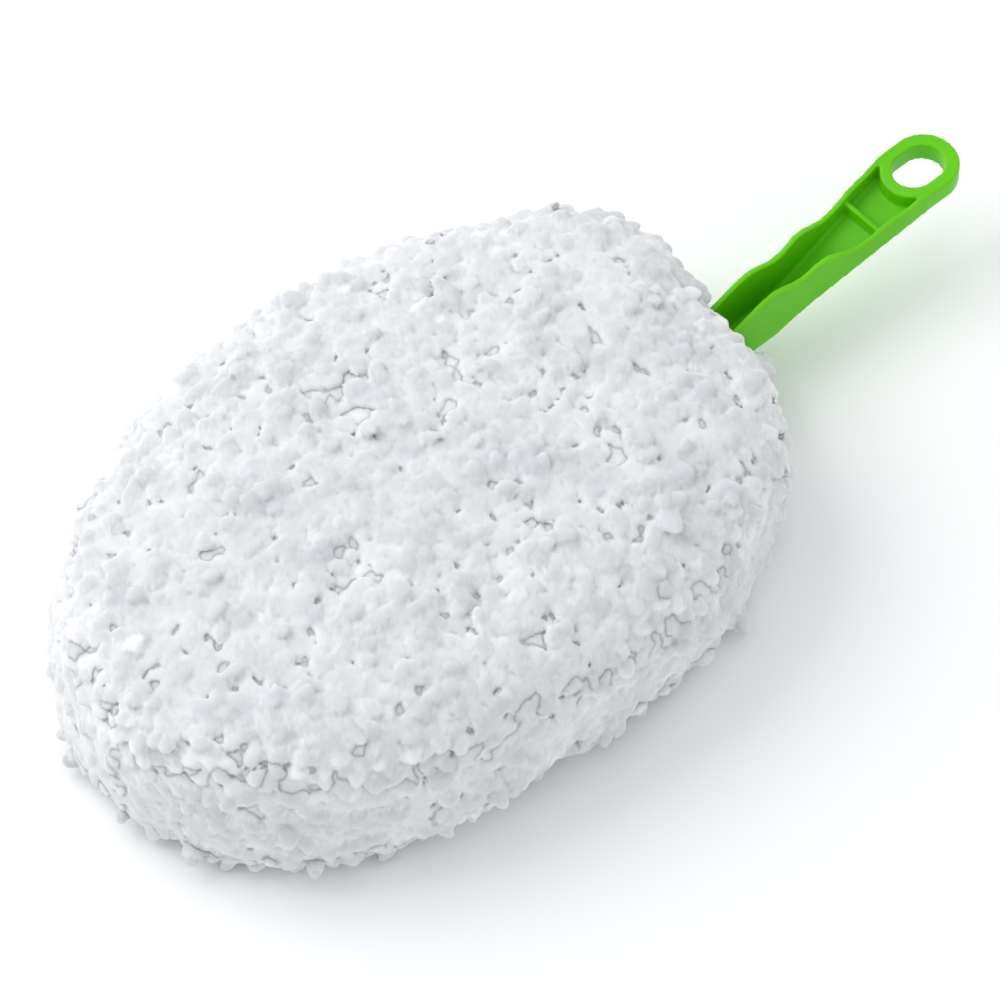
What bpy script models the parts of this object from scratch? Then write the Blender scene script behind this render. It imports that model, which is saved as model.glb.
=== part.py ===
"""Pull-off microfibre wash head on a one-piece moulded handle.

Metres, +Z up. The pad lies on its back with the working face up. The handle
runs along +X and the origin is at the bottom centre of the overall box.
"""
import math

import bmesh
import bpy
from mathutils import Matrix, Vector

MM = 0.001

# Pad: the plump oval cover, over the tips of its pile
PAD_LENGTH = 260 * MM
PAD_WIDTH = 183 * MM
PAD_THICKNESS = 68 * MM
PAD_EGG = 0.075             # share by which the handle end is wider than the middle
PLAN_POWER = 2.25           # superellipse power of the outline
EDGE_ROUND = 20 * MM        # width in plan over which the faces round off to the side
EDGE_SHARE = 7 / 11         # share of the way from the side's middle to the face's middle
FRONT_POWER = 2.5           # superellipse power of the rounded edge, working side
REAR_POWER = 3.0            # the same, back side
FRONT_CROWN = 6 * MM        # swell of the working face over its rounded edge
REAR_CROWN = 4 * MM         # the same, back side
REAR_FLAT = 1.5 * MM        # depth trimmed off the back, so that it lies flat
SEAM_Z = 24 * MM            # height of the seam and of the pocket's middle
PILE_DEPTH = 14 * MM
LINING = 0.9 * MM
BINDING_WIDTH = 8 * MM

# Mouth of the pocket, at the handle end
MOUTH_MARGIN = 5 * MM       # mouth past the paddle, each side
MOUTH_SQUARENESS = 16       # power that keeps the mouth's ends full
SWELL_MARGIN = 3.0 * MM     # mouth past the neck, above and below
SWELL_REACH = 14 * MM       # half-width over which the mouth swells round the neck
HEM_THICKNESS = 3.4 * MM
HEM_INSET = 5 * MM          # hem's outer end, below the tips of the pile
HEM_LENGTH = 40 * MM        # from the pad's end to the hem's inner end
ELASTIC_THICKNESS = 1.4 * MM
ELASTIC_WIDTH = 8 * MM
ELASTIC_COVER = 1.6 * MM    # hem cloth under the elastic
ELASTIC_SETBACK = 6 * MM    # elastic, from the hem's inner end

# Handle: grip, hang eye and neck
HANDLE_REACH = 105 * MM     # what shows past the pad
EYE_WALL = 4.4 * MM         # plastic round the slot
EYE_THICKNESS = 7.5 * MM
SLOT_WIDTH = 14.8 * MM
SLOT_LENGTH = 19 * MM
SLOT_SHIFT = 2.6 * MM       # slot's middle, from the eye's middle towards the pad
BOSS_WALL = 3.8 * MM        # wall round the slot, at the channel's end
NECK_HALF_WIDTH = 6.9 * MM
NECK_DEPTH = 25 * MM        # height of the neck's room in the mouth, centred on the seam
EYE_RISE = 12 * MM          # eye's upper face over the seam
TAPER_START = 8 * MM        # from the eye's middle
WIDTH_TAPER_END = 60 * MM
BACK_TAPER_END = 72 * MM
GRIP_WALL = 2.0 * MM
GRIP_FLOOR = 2.2 * MM
RIB_SETBACK = 27.5 * MM       # cross rib, from the eye's middle
RIB_DROP = 6.0 * MM         # rib's top, below the eye's upper face
RIB_THICKNESS = 1.6 * MM
# Finger waves on the rims: distance from the eye's middle and rise over the eye's face
FINGER_WAVES = [(8 * MM, 0.0), (21 * MM, -2.4 * MM), (37 * MM, -6.2 * MM),
                (51 * MM, -2.2 * MM), (61 * MM, -5.0 * MM), (73 * MM, -2.3 * MM),
                (94 * MM, -7.8 * MM)]

# Paddle: the flat end of the moulding, inside the pocket
PADDLE_CLEARANCE = 15 * MM  # paddle to edge binding, all round
PADDLE_POWER = 2.3
PADDLE_PLATE = 3 * MM
PADDLE_RIM_HEIGHT = 7 * MM
PADDLE_RIM_WIDTH = 3 * MM
PADDLE_RIB = 2.6 * MM
CROSS_RIBS = [-36 * MM, 12 * MM]   # from the paddle's middle
NECK_ROOT = 40 * MM         # length over which the neck runs out into the paddle

POCKET_CLEARANCE = 1.1 * MM # lining to paddle rim
SKIN_GAP = 0.3 * MM         # between pieces that touch

# Worked out from the sizes above
OVERALL_LENGTH = PAD_LENGTH + HANDLE_REACH
PAD_X = (PAD_LENGTH - OVERALL_LENGTH) / 2
PAD_END_X = PAD_X + PAD_LENGTH / 2
EYE_RADIUS = SLOT_WIDTH / 2 + EYE_WALL
EYE_X = OVERALL_LENGTH / 2 - EYE_RADIUS
SLOT_X = EYE_X - SLOT_SHIFT
EYE_TOP = SEAM_Z + EYE_RISE
NECK_BACK_Z = SEAM_Z - NECK_DEPTH / 2
HEM_INNER_X = PAD_END_X - HEM_LENGTH
POCKET_INSET = PILE_DEPTH + SKIN_GAP + BINDING_WIDTH
PADDLE_END_X = PAD_X - PAD_LENGTH / 2 + POCKET_INSET + PADDLE_CLEARANCE
PADDLE_LENGTH = HEM_INNER_X - PADDLE_END_X
PADDLE_WIDTH = PAD_WIDTH - 2 * (POCKET_INSET + PADDLE_CLEARANCE)
PADDLE_X = (HEM_INNER_X + PADDLE_END_X) / 2
POCKET_HALF = PADDLE_RIM_HEIGHT / 2 + POCKET_CLEARANCE
PLUG_OFFSET = HEM_THICKNESS + SKIN_GAP
SPAN = OVERALL_LENGTH       # length of a cutter that runs past everything

COVER_WHITE = (0.84, 0.85, 0.87)


def clear_scene():
    for item in list(bpy.data.objects):
        bpy.data.objects.remove(item)


def new_collection(name):
    collection = bpy.data.collections.new(name)
    bpy.context.scene.collection.children.link(collection)
    return collection


def material(name, colour, roughness, metallic=0.0):
    made = bpy.data.materials.new(name)
    made.use_nodes = True
    shader = made.node_tree.nodes["Principled BSDF"]
    shader.inputs["Base Color"].default_value = (*colour, 1.0)
    shader.inputs["Roughness"].default_value = roughness
    shader.inputs["Metallic"].default_value = metallic
    return made


def as_node(item, finish):
    item.data.materials.clear()
    item.data.materials.append(finish)
    item.data.shade_smooth()
    item.data.set_sharp_from_angle(angle=math.radians(35))
    return item


def link_mesh(name, mesh, collection):
    item = bpy.data.objects.new(name, mesh)
    collection.objects.link(item)
    return item


def as_cutter(item):
    item.hide_render = True
    item.display_type = "WIRE"
    return item


def boolean(item, cutter, operation):
    step = item.modifiers.new(operation.title(), "BOOLEAN")
    step.operation = operation
    step.object = cutter


def prism(name, loops, low, high, collection, frame=None):
    """Flat outline given a thickness from low to high, then placed by a matrix."""
    curve = bpy.data.curves.new(name, "CURVE")
    curve.dimensions = "2D"
    curve.fill_mode = "BOTH"
    curve.extrude = (high - low) / 2
    for loop in loops:
        spline = curve.splines.new("POLY")
        spline.points.add(len(loop) - 1)
        for point, (x, y) in zip(spline.points, loop):
            point.co = (x, y, 0.0, 1.0)
        spline.use_cyclic_u = True
    drawn = bpy.data.objects.new(name, curve)
    collection.objects.link(drawn)
    depsgraph = bpy.context.evaluated_depsgraph_get()
    mesh = bpy.data.meshes.new_from_object(drawn.evaluated_get(depsgraph))
    bpy.data.objects.remove(drawn)
    bpy.data.curves.remove(curve)
    lift = Matrix.Translation((0.0, 0.0, (high + low) / 2))
    mesh.transform((frame or Matrix.Identity(4)) @ lift)
    work = bmesh.new()
    work.from_mesh(mesh)
    bmesh.ops.remove_doubles(work, verts=work.verts, dist=MM / 200)
    bmesh.ops.recalc_face_normals(work, faces=work.faces)
    work.to_mesh(mesh)
    work.free()
    return link_mesh(name, mesh, collection)


# Frames that stand a flat outline up: (x, z) drawn, thickness along Y; (y, z) drawn, along X
SIDE_VIEW = Matrix(((1, 0, 0, 0), (0, 0, -1, 0), (0, 1, 0, 0), (0, 0, 0, 1)))
END_VIEW = Matrix(((0, 0, 1, 0), (1, 0, 0, 0), (0, 1, 0, 0), (0, 0, 0, 1)))


def box(name, low, high, collection):
    mesh = bpy.data.meshes.new(name)
    work = bmesh.new()
    bmesh.ops.create_cube(work, size=1.0)
    for vertex in work.verts:
        vertex.co = Vector([a + (b - a) * (c + 0.5) for a, b, c in zip(low, high, vertex.co)])
    work.to_mesh(mesh)
    work.free()
    return link_mesh(name, mesh, collection)


def signed_power(value, power):
    return math.copysign(abs(value) ** power, value)


def superellipse(half_length, half_width, power, count=64):
    outline = []
    for step in range(count):
        turn = 2 * math.pi * step / count
        outline.append((half_length * signed_power(math.cos(turn), 2 / power),
                        half_width * signed_power(math.sin(turn), 2 / power)))
    return outline


def stadium(middle, half_length, half_width, count=12):
    """Slot outline along X with round ends."""
    straight = half_length - half_width
    outline = []
    for side in (1, -1):
        for step in range(count + 1):
            turn = math.pi * (step / count - 0.5)
            outline.append((middle + side * (straight + half_width * math.cos(turn)),
                            side * half_width * math.sin(turn)))
    return outline


def plan_point(turn, reach, inset):
    """A point of the pad's plan, at a share of the way out to its inset outline."""
    along = signed_power(math.cos(turn), 2 / PLAN_POWER) * reach
    across = signed_power(math.sin(turn), 2 / PLAN_POWER) * reach
    return (PAD_X + (PAD_LENGTH / 2 - inset) * along,
            (PAD_WIDTH / 2 - inset) * across * (1 + PAD_EGG * along))


def plump_solid(name, inset, collection):
    """The pad's outer form, pulled in all round by the inset: a crowned oval with round edges."""
    mesh = bpy.data.meshes.new(name)
    work = bmesh.new()
    bmesh.ops.create_uvsphere(work, u_segments=44, v_segments=22, radius=1.0)
    for vertex in work.verts:
        turn = math.atan2(vertex.co.y, vertex.co.x)
        latitude = math.asin(max(-1.0, min(1.0, vertex.co.z))) / (math.pi / 2)
        if latitude > 0:
            power, crown, full, way = FRONT_POWER, FRONT_CROWN, PAD_THICKNESS - SEAM_Z, 1
        else:
            power, crown, full, way = REAR_POWER, REAR_CROWN, SEAM_Z + REAR_FLAT, -1
        share = abs(latitude)
        lean = min(1.0, share / EDGE_SHARE) * math.pi / 2
        reach = min(1.0, (1 - share) / (1 - EDGE_SHARE))
        edge = EDGE_ROUND * (full - inset) / full
        pull = edge * (1 - max(0.0, math.cos(lean)) ** (2 / power))
        level = (full - inset - crown) * math.sin(lean) ** (2 / power) + crown * (1 - reach ** 2)
        vertex.co.x, vertex.co.y = plan_point(turn, reach, inset + pull)
        vertex.co.z = SEAM_Z + way * level
    work.to_mesh(mesh)
    work.free()
    return link_mesh(name, mesh, collection)


def mouth_outline(offset, count=28):
    """The mouth as (y, z): a slot for the paddle that swells round the neck."""
    half_width = PADDLE_WIDTH / 2 + MOUTH_MARGIN + offset
    swell = NECK_DEPTH / 2 + SWELL_MARGIN - POCKET_HALF
    flat = POCKET_HALF + offset
    upper = []
    for step in range(count + 1):
        y = half_width * math.cos(math.pi * step / count)
        nose = math.sqrt(max(0.0, 1 - (abs(y) / half_width) ** MOUTH_SQUARENESS))
        upper.append((y, flat * nose + swell * math.exp(-(y / SWELL_REACH) ** 2) * nose))
    lower = [(y, -z) for y, z in reversed(upper[1:-1])]
    return [(y, SEAM_Z + z) for y, z in upper + lower]


def taper_share(setback, end):
    return min(1.0, max(0.0, (setback - TAPER_START) / (end - TAPER_START)))


def grip_half_width(setback):
    share = taper_share(setback, WIDTH_TAPER_END)
    return EYE_RADIUS + (NECK_HALF_WIDTH - EYE_RADIUS) * share


def grip_plan(inset, start, end, count=14):
    """Plan outline between two setbacks from the eye's middle, without its round end."""
    stations = [start + (end - start) * step / count for step in range(count + 1)]
    near = [(EYE_X - s, -(grip_half_width(s) - inset)) for s in stations]
    far = [(x, -y) for x, y in reversed(near)]
    return near + far


def grip_back(setback):
    """Height of the handle's straight back: level under the eye, then down to the neck."""
    eye_back = EYE_TOP - EYE_THICKNESS
    return eye_back + (NECK_BACK_Z - eye_back) * taper_share(setback, BACK_TAPER_END)


def wave_top(setback):
    """Height of the wavy rims: half cosines between the finger waves' points."""
    if setback <= FINGER_WAVES[0][0]:
        return EYE_TOP
    for (start, low), (end, high) in zip(FINGER_WAVES, FINGER_WAVES[1:]):
        if setback <= end:
            ease = (1 - math.cos(math.pi * (setback - start) / (end - start))) / 2
            return EYE_TOP + low + (high - low) * ease
    return EYE_TOP + FINGER_WAVES[-1][1]


def grip_side():
    """Side view as (x, z): wavy rims, straight back and the run-out into the paddle."""
    neck_end = EYE_X - PAD_END_X
    top = []
    steps = 60
    for step in range(steps + 1):
        setback = -EYE_RADIUS + (neck_end + EYE_RADIUS) * step / steps
        top.append((EYE_X - setback, wave_top(setback)))
    root_x = PAD_END_X - NECK_ROOT - PADDLE_RIM_WIDTH
    root = [(root_x, SEAM_Z + PADDLE_RIM_HEIGHT / 2), (root_x, SEAM_Z - PADDLE_RIM_HEIGHT / 2)]
    back = [(PAD_END_X, grip_back(neck_end)),
            (EYE_X - BACK_TAPER_END, grip_back(BACK_TAPER_END)),
            (EYE_X - TAPER_START, grip_back(TAPER_START)),
            (EYE_X + EYE_RADIUS, grip_back(0.0))]
    return top + root + back


def channel_side(neck_end):
    """What the channel takes out, in side view: everything over the floor."""
    floor_lift = GRIP_FLOOR
    high = EYE_TOP + EYE_RADIUS
    return [(EYE_X, high), (EYE_X - neck_end, high),
            (EYE_X - neck_end, grip_back(neck_end) + floor_lift),
            (EYE_X - BACK_TAPER_END, grip_back(BACK_TAPER_END) + floor_lift),
            (EYE_X - TAPER_START, grip_back(TAPER_START) + floor_lift),
            (EYE_X, grip_back(0.0) + floor_lift)]


def make_handle(parts, cutters, finish):
    reach = EYE_RADIUS * 1.5
    root = EYE_X - PAD_END_X + NECK_ROOT + PADDLE_RIM_WIDTH
    plan = grip_plan(0.0, 0.0, root)
    nose = [(EYE_X + EYE_RADIUS * math.sin(math.pi * step / 24),
             EYE_RADIUS * math.cos(math.pi * step / 24)) for step in range(1, 24)]
    grip = prism("grip_plan", [plan + nose], NECK_BACK_Z - reach, EYE_TOP + reach, cutters)
    side = prism("grip_side", [grip_side()], -reach, reach, cutters, SIDE_VIEW)
    boolean(grip, as_cutter(side), "INTERSECT")

    channel_end = EYE_X - PAD_END_X + NECK_ROOT / 2
    channel = prism("channel_plan", [grip_plan(GRIP_WALL, SLOT_SHIFT, channel_end)],
                    NECK_BACK_Z, EYE_TOP + reach, cutters)
    depth = prism("channel_depth", [channel_side(channel_end)], -reach, reach, cutters, SIDE_VIEW)
    boss = prism("boss", [stadium(SLOT_X, SLOT_LENGTH / 2 + BOSS_WALL, SLOT_WIDTH / 2 + BOSS_WALL)],
                 NECK_BACK_Z - MM, EYE_TOP + reach + MM, cutters)
    rib = box("cross_rib", (EYE_X - RIB_SETBACK - RIB_THICKNESS / 2, -reach, NECK_BACK_Z - MM),
              (EYE_X - RIB_SETBACK + RIB_THICKNESS / 2, reach, EYE_TOP - RIB_DROP), cutters)
    boolean(channel, as_cutter(depth), "INTERSECT")
    boolean(channel, as_cutter(boss), "DIFFERENCE")
    boolean(channel, as_cutter(rib), "DIFFERENCE")
    boolean(grip, as_cutter(channel), "DIFFERENCE")

    paddle = make_paddle(cutters)
    boolean(grip, as_cutter(paddle), "UNION")
    slot = prism("slot", [stadium(SLOT_X, SLOT_LENGTH / 2, SLOT_WIDTH / 2)],
                 NECK_BACK_Z, EYE_TOP + reach, cutters)
    boolean(grip, as_cutter(slot), "DIFFERENCE")

    grip.name = "handle_frame"
    cutters.objects.unlink(grip)
    parts.objects.link(grip)
    return as_node(grip, finish)


def make_paddle(cutters):
    """Oval plate with a raised rim, a spine and cross ribs."""
    place = Matrix.Translation((PADDLE_X, 0.0, SEAM_Z))
    half_rim = PADDLE_RIM_HEIGHT / 2
    outer = superellipse(PADDLE_LENGTH / 2, PADDLE_WIDTH / 2, PADDLE_POWER)
    inner = superellipse(PADDLE_LENGTH / 2 - PADDLE_RIM_WIDTH,
                         PADDLE_WIDTH / 2 - PADDLE_RIM_WIDTH, PADDLE_POWER)
    paddle = prism("paddle", [outer], -half_rim, half_rim, cutters, place)
    ribs = [box("spine_rib", (PADDLE_X - SPAN, -PADDLE_RIB / 2, 0.0),
                (PADDLE_X + SPAN, PADDLE_RIB / 2, PAD_THICKNESS), cutters)]
    for index, offset in enumerate(CROSS_RIBS):
        middle = PADDLE_X + offset
        ribs.append(box(f"paddle_rib_{index + 1}", (middle - PADDLE_RIB / 2, -PADDLE_WIDTH, 0.0),
                        (middle + PADDLE_RIB / 2, PADDLE_WIDTH, PAD_THICKNESS), cutters))
    for name, low, high in (("recess_top", PADDLE_PLATE / 2, PADDLE_RIM_HEIGHT),
                            ("recess_back", -PADDLE_RIM_HEIGHT, -PADDLE_PLATE / 2)):
        recess = prism(name, [inner], low, high, cutters, place)
        for rib in ribs:
            boolean(recess, as_cutter(rib), "DIFFERENCE")
        boolean(paddle, as_cutter(recess), "DIFFERENCE")
    return paddle


def make_pile(name, low, high, plug, parts, cutters, finish):
    """One half of the pile: the plump form between two heights, hollow inside."""
    pile = plump_solid(name, 0.0, parts)
    hollow = plump_solid(f"{name}_hollow", PILE_DEPTH, cutters)
    slab = box(f"{name}_slab", (-SPAN, -SPAN, low), (SPAN, SPAN, high), cutters)
    boolean(pile, as_cutter(hollow), "DIFFERENCE")
    boolean(pile, as_cutter(slab), "INTERSECT")
    boolean(pile, plug, "DIFFERENCE")
    return as_node(pile, finish)


def make_filling(name, low, high, end_x, plug, parts, cutters, finish):
    """A flat layer inside the pile: the inner form between two heights."""
    layer = plump_solid(name, PILE_DEPTH + SKIN_GAP, parts)
    slab = box(f"{name}_slab", (-SPAN, -SPAN, low), (end_x, SPAN, high), cutters)
    boolean(layer, as_cutter(slab), "INTERSECT")
    if plug:
        boolean(layer, plug, "DIFFERENCE")
    return as_node(layer, finish)


def make_binding(parts, cutters, finish):
    """Tape round the pocket, open where the paddle passes, with all layers sewn to it."""
    half = POCKET_HALF - SKIN_GAP
    binding = plump_solid("edge_binding", PILE_DEPTH + SKIN_GAP, parts)
    slab = box("binding_slab", (-SPAN, -SPAN, SEAM_Z - half), (SPAN, SPAN, SEAM_Z + half), cutters)
    outline = [plan_point(2 * math.pi * step / 64, 1.0, POCKET_INSET) for step in range(64)]
    pocket = prism("binding_pocket", [outline], 0.0, PAD_THICKNESS, cutters)
    passage = prism("paddle_passage", [mouth_outline(PLUG_OFFSET)], PADDLE_X,
                    PAD_END_X + SPAN, cutters, END_VIEW)
    boolean(binding, as_cutter(slab), "INTERSECT")
    boolean(binding, as_cutter(pocket), "DIFFERENCE")
    boolean(binding, as_cutter(passage), "DIFFERENCE")
    return as_node(binding, finish)


def make_mouth(parts, cutters, cloth, rubber):
    """Hem round the mouth, with the elastic in a groove round the hem."""
    outer = mouth_outline(HEM_THICKNESS)
    hem = prism("mouth_hem", [outer, mouth_outline(0.0)], HEM_INNER_X, PAD_END_X, parts, END_VIEW)
    trim = plump_solid("hem_trim", HEM_INSET, cutters)
    boolean(hem, as_cutter(trim), "INTERSECT")

    low = HEM_INNER_X + ELASTIC_SETBACK
    high = low + ELASTIC_WIDTH
    groove = prism("elastic_groove",
                   [mouth_outline(HEM_THICKNESS + MM), mouth_outline(ELASTIC_COVER - SKIN_GAP)],
                   low - SKIN_GAP, high + SKIN_GAP, cutters, END_VIEW)
    boolean(hem, as_cutter(groove), "DIFFERENCE")
    elastic = prism("mouth_elastic",
                    [mouth_outline(ELASTIC_COVER + ELASTIC_THICKNESS), mouth_outline(ELASTIC_COVER)],
                    low, high, parts, END_VIEW)
    return as_node(hem, cloth), as_node(elastic, rubber)


def main():
    clear_scene()
    parts = new_collection("wash_head")
    cutters = new_collection("cutters")
    green = material("green_plastic", (0.13, 0.45, 0.02), 0.42)
    pile_white = material("pile_white", COVER_WHITE, 0.85)
    foam_grey = material("foam_grey", (0.52, 0.54, 0.56), 0.95)
    lining_white = material("lining_white", (0.72, 0.73, 0.75), 0.8)
    tape_white = material("tape_white", (0.66, 0.67, 0.69), 0.8)
    elastic_white = material("elastic_white", (0.6, 0.6, 0.6), 0.7)

    plug = as_cutter(prism("mouth_plug", [mouth_outline(PLUG_OFFSET)],
                           HEM_INNER_X - SKIN_GAP, PAD_END_X + SPAN, cutters, END_VIEW))
    make_handle(parts, cutters, green)

    seam_half = SKIN_GAP / 2
    make_pile("front_pile", SEAM_Z + seam_half, PAD_THICKNESS + MM, plug, parts, cutters, pile_white)
    make_pile("rear_pile", 0.0, SEAM_Z - seam_half, plug, parts, cutters, pile_white)

    front_low = SEAM_Z + POCKET_HALF
    rear_high = SEAM_Z - POCKET_HALF
    lining_end = HEM_INNER_X - SKIN_GAP
    make_filling("front_lining", front_low, front_low + LINING, lining_end, None,
                 parts, cutters, lining_white)
    make_filling("rear_lining", rear_high - LINING, rear_high, lining_end, None,
                 parts, cutters, lining_white)
    foam_offset = LINING + SKIN_GAP
    make_filling("front_foam", front_low + foam_offset, PAD_THICKNESS, SPAN, plug,
                 parts, cutters, foam_grey)
    make_filling("rear_foam", 0.0, rear_high - foam_offset, SPAN, plug,
                 parts, cutters, foam_grey)
    make_binding(parts, cutters, tape_white)
    make_mouth(parts, cutters, lining_white, elastic_white)


main()
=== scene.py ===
import math

import bpy
import numpy as np
from bpy.props import FloatProperty, FloatVectorProperty, IntProperty, PointerProperty
from bpy.types import Operator, Panel, PropertyGroup
from mathutils import Matrix, Vector, noise
from mathutils.bvhtree import BVHTree


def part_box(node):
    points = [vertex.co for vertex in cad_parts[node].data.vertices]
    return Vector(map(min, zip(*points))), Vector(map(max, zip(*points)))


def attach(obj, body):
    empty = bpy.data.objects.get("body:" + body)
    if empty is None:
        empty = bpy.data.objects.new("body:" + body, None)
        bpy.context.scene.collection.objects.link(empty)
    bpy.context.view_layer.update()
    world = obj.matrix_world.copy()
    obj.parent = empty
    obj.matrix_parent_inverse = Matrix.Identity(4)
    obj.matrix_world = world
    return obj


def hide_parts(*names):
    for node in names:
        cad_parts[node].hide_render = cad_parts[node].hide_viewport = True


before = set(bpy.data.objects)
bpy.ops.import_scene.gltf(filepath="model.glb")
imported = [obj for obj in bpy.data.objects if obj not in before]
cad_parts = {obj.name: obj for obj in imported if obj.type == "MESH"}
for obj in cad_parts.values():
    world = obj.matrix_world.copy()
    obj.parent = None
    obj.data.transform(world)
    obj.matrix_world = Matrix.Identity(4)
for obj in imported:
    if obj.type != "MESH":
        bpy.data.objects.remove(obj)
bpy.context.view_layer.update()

bl_info = {
    "name": "Wash head",
    "version": (1, 0, 0),
    "blender": (4, 5, 0),
    "location": "3D View > Sidebar > Wash head",
    "description": "Finishes a pull-off pile wash pad on its moulded handle",
    "category": "Object",
}

MM = 0.001

PAD_LOW, PAD_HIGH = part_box("front_pile")
SEAM_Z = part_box("rear_pile")[1].z
PAD_MIDDLE = Vector(((PAD_LOW.x + PAD_HIGH.x) / 2, 0.0, SEAM_Z))
PAD_HALF_LENGTH = (PAD_HIGH.x - PAD_LOW.x) / 2
PAD_HALF_WIDTH = (PAD_HIGH.y - PAD_LOW.y) / 2
PAD_TOP = PAD_HIGH.z
PAD_END_X = PAD_HIGH.x

ROOT_SINK = 2.8 * MM         # tuft's root under the ground cloth
PILE_HEIGHT = 4.2 * MM       # height over the ground cloth at which rise is 1
TUFT_FLATNESS = 0.66         # tuft's thickness to its width
TUFT_DROOP = 0.16            # how far a tip bends over, to the tuft's length
UPRIGHT_SHARE = 0.42         # share of the tufts that stand; the others lie
STAND_SIZE = (0.56, 1.25)    # standing tuft's length and width, to a lying one's
STAND_LEAN = (28, 9)         # lean of the standing tufts in degrees: mean and spread
LIE_LEAN = (70, 8)           # lean of the lying tufts in degrees: mean and spread
UNDERSIDE_REACH = 24 * MM    # tufts lower than this grow long and hang
RIM_TILT = 0.5               # upward share of the normal where the face turns into the side
BORDER_NOISE = 0.16          # how ragged the borders between regions are, in the same share
BORDER_REACH = 14 * MM       # size of their waves
OVERLAP = 0.11               # how far a region runs on under the next one, in the same share
OVERLAP_SINK = 0.5 * MM      # how deep they lie there
TUFT_CLEARANCE = 0.7 * MM    # tufts to the moulding
MOUTH_CLEARANCE = 0.5 * MM   # mouth's long tufts to the moulding
NECK_REACH = 60 * MM         # the moulding is near tufts this close to the pad's end ...
NECK_HALF_WIDTH = 24 * MM    # ... and to its middle line
NECK_DEPTH = 8 * MM          # a point this deep behind the moulding's surface is inside it
MOUTH_FACING = (0.45, 0.0, 0.9)   # the way the long tufts' ground faces
TRIES_PER_TUFT = 4.5         # random spots tried for each square of the spacing
HANDLE_TRIANGLES = 150000    # most triangles of the finished moulding
CAMERA_AIM = Vector((-0.0175, -0.0011, 0.0209))

# Partings in the working face, each a line of (x, y) in millimetres
PARTINGS = [
    [(3, 36), (-6, 33), (-17, 29)],
    [(15, 29), (5, 28), (-5, 24)],
    [(14, 59), (4, 56), (-9, 51)],
    [(32, 52), (31, 43), (22, 39), (6, 41)],
    [(-20, 24), (-28, 17), (-35, 8)],
    [(-84, -10), (-100, -17), (-119, -21)],
    [(15, -6), (11, -9)],
    [(-47, 38), (-60, 33)],
    [(-52, -38), (-66, -49), (-83, -52)],
]
# Where the soft cover stands proud or dips: middle (x, y, z), reach and height, in millimetres
BULGES = [((62, 56, 44), 34, 7.0), ((74, 27, 40), 18, 6.0), ((22, -82, 26), 26, -3.5),
          ((-70, -88, 20), 40, -2.0), ((-80, 88, 46), 55, 3.0), ((-150, -60, 34), 26, 1.5),
          ((74, -2, 40), 15, -7.0)]
# Long tufts round the mouth: root (x past the pad's end, y, z over the seam), yaw, pitch, length
# and width, in millimetres and degrees
MOUTH_TUFTS = [
    ((-3.5, 4, 8.4), -72, -2, 14, 7.4),
    ((-6, 14.5, 11), -38, 8, 14, 7.6),
    ((-9, 18, 12), -20, 4, 14, 7.6),
    ((-10, 9, 14), -30, 0, 13, 7.0),
    ((-12, 2, 13), -22, -4, 14, 7.0),
    ((-11, -5, 11), -34, -8, 13, 7.0),
    ((-7, -11, 8), -40, -14, 13, 7.0),
    ((2, -12.6, -3), -22, -8, 11, 6.6),
    ((-1, -13, -8), -10, -8, 11, 6.6),
    ((-3, -14, 2), -24, -12, 12, 6.8),
    ((-6, -19, 4), -18, -10, 14, 7.4),
    ((-6, 14, 2), 4, 0, 12, 6.8),
    ((-6, 14, -7), 2, -4, 12, 6.8),
    ((-8, 19, -2), 12, -2, 13, 7.0),
    ((-9, -20, -4), -14, -8, 13, 7.0),
    ((-16, 3, 18), 6, -2, 13, 6.6),
    ((-16, -15, 15), -22, -10, 13, 6.8),
]


class PileSettings(PropertyGroup):
    ground_inset: FloatProperty(
        name="Ground depth", description="Depth of the ground cloth under the tips of the pile",
        default=3.3 * MM, unit="LENGTH")
    swell: FloatProperty(
        name="Swell", description="How far the stuffed cover may swell between its partings",
        default=2.0 * MM, unit="LENGTH")
    parting_depth: FloatProperty(
        name="Parting depth", description="Depth of the partings in the face",
        default=1.8 * MM, unit="LENGTH")
    parting_width: FloatProperty(
        name="Parting width", description="Half-width of the partings in the face",
        default=2.8 * MM, unit="LENGTH")
    tuft_length: FloatProperty(
        name="Tuft length", description="Length of a tuft on the face",
        default=9.0 * MM, unit="LENGTH")
    tuft_width: FloatProperty(
        name="Tuft width", description="Width of a tuft on the face",
        default=6.4 * MM, unit="LENGTH")
    tuft_spacing: FloatProperty(
        name="Tuft spacing", description="Least distance between two tufts",
        default=2.2 * MM, unit="LENGTH")
    clump: FloatProperty(
        name="Clump size", description="Size of the clumps that tufts lie in",
        default=17.0 * MM, unit="LENGTH")
    softness: FloatProperty(
        name="Softness", description="How far the tufts are lit as one surface",
        default=0.45, min=0.0, max=1.0)
    grain: FloatProperty(
        name="Grain", description="Size of the finest shape left once the tufts have merged",
        default=1.24 * MM, unit="LENGTH")
    soften: IntProperty(
        name="Soften", description="How many times the merged pile is smoothed", default=1)
    seed: IntProperty(
        name="Seed", description="Start of the random order that tufts are laid in", default=7)
    tip_colour: FloatVectorProperty(
        name="Tip colour", description="Colour of the pile at its tips",
        default=(0.635, 0.643, 0.655), size=3, subtype="COLOR", min=0.0, max=1.0)
    # Painted light: the roots are painted paler than the tips, to lift the shade deep in the pile
    painted_light_root_colour: FloatVectorProperty(
        name="Root colour", description="Colour of the pile down at its ground",
        default=(0.82, 0.828, 0.84), size=3, subtype="COLOR", min=0.0, max=1.0)


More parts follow.
